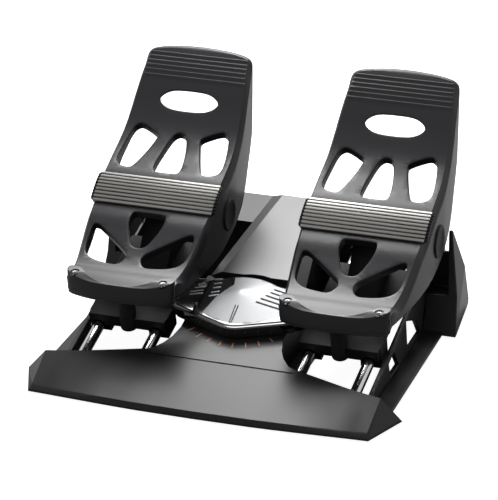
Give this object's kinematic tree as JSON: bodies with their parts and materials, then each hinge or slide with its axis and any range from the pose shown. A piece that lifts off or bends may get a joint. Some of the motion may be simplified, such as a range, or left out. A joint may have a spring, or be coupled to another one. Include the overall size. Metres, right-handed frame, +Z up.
{
  "type": "rudder pedals",
  "caption": "Flight simulator rudder pedals: toe-brake pedals with windows and a metal tread band, on carriages that slide on tilted rails and are joined by a pivoting arm.",
  "frame": {"origin": "on the floor, under the middle of the object's box", "axes": "+X to the user's right, +Y away from the user, +Z up"},
  "size_m": [0.4056, 0.3796, 0.262],
  "materials": {
    "casing_plastic": "satin black moulded",
    "pedal_plastic": "satin black moulded",
    "inner_plastic": "black moulded",
    "tread_metal": "dark metallic ribs",
    "gloss_black": "gloss",
    "silver_gloss": "silver gloss",
    "tick_print": "orange print",
    "rail_chrome": "polished",
    "steel": "zinc plated",
    "spring_steel": "drawn wire",
    "bush_brass": "turned",
    "bush_plastic": "ivory acetal",
    "board_laminate": "green circuit board",
    "rubber": "black rubber"
  },
  "bodies": {
    "base": {"front_casing": "casing_plastic", "front_crossbar": "inner_plastic", "base_pan": "inner_plastic", "console_cover": "casing_plastic", "scale_ticks": "tick_print", "hub_base": "inner_plastic", "arm_post": "steel", "post_nut": "steel", "rudder_sensor": "inner_plastic", "centring_spring": "spring_steel", "rear_casing": "casing_plastic", "rear_crossbar": "inner_plastic", "end_cap_left": "casing_plastic", "end_cap_right": "casing_plastic", "side_web_left": "casing_plastic", "side_web_right": "casing_plastic", "floor_strap_left": "casing_plastic", "floor_strap_right": "casing_plastic", "rail_left_outer": "rail_chrome", "rail_left_inner": "rail_chrome", "rail_right_inner": "rail_chrome", "rail_right_outer": "rail_chrome", "rail_bumpers": "rubber", "cable_gland": "rubber", "circuit_board": "board_laminate", "rubber_feet": "rubber"},
    "arm": {"rudder_arm": "inner_plastic", "arm_bush": "bush_brass", "arm_cover": "gloss_black", "arm_plate": "silver_gloss"},
    "left_carriage": {"carriage_left": "inner_plastic", "slide_bushes_left": "bush_plastic", "link_pin_left": "steel", "pedal_tower_left": "inner_plastic", "hinge_shaft_left": "steel", "brake_spring_left": "spring_steel", "brake_sensor_left": "inner_plastic", "brake_stop_left": "rubber"},
    "left_pedal": {"pedal_shell_left": "pedal_plastic", "tread_band_left": "tread_metal", "heel_rest_left": "pedal_plastic", "heel_screws_left": "steel", "hinge_caps_left": "pedal_plastic"},
    "right_carriage": {"carriage_right": "inner_plastic", "slide_bushes_right": "bush_plastic", "link_pin_right": "steel", "pedal_tower_right": "inner_plastic", "hinge_shaft_right": "steel", "brake_spring_right": "spring_steel", "brake_sensor_right": "inner_plastic", "brake_stop_right": "rubber"},
    "right_pedal": {"pedal_shell_right": "pedal_plastic", "tread_band_right": "tread_metal", "heel_rest_right": "pedal_plastic", "heel_screws_right": "steel", "hinge_caps_right": "pedal_plastic"}
  },
  "joints": [
    {"name": "right_slide", "type": "slide", "parent": "base", "child": "right_carriage", "axis": [0, 0.9703, 0.2419], "range_m": [-0.034, 0.034], "stiffness_N_per_m": 400},
    {"name": "left_slide", "type": "slide", "parent": "base", "child": "left_carriage", "axis": [0, 0.9703, 0.2419], "range_m": [-0.034, 0.034]},
    {"name": "arm_turn", "type": "hinge", "parent": "base", "child": "arm", "pos_m": [0, -0.01875, 0.04064], "axis": [0, -0.2419, 0.9703], "range_deg": [-16.9, 16.9]},
    {"name": "left_brake", "type": "hinge", "parent": "left_carriage", "child": "left_pedal", "pos_m": [-0.116, 0.06328, 0.11881], "axis": [-1, 0, 0], "range_deg": [0, 15], "stiffness_Nm_per_rad": 4, "springref_deg": -11.46},
    {"name": "right_brake", "type": "hinge", "parent": "right_carriage", "child": "right_pedal", "pos_m": [0.116, 0.06328, 0.11881], "axis": [-1, 0, 0], "range_deg": [0, 15], "stiffness_Nm_per_rad": 4, "springref_deg": -11.46}
  ],
  "couplings": [
    {"joint": "left_slide", "follows": "right_slide", "ratio": -1},
    {"joint": "arm_turn", "follows": "right_slide", "rad_per_m": 8.6207}
  ]
}
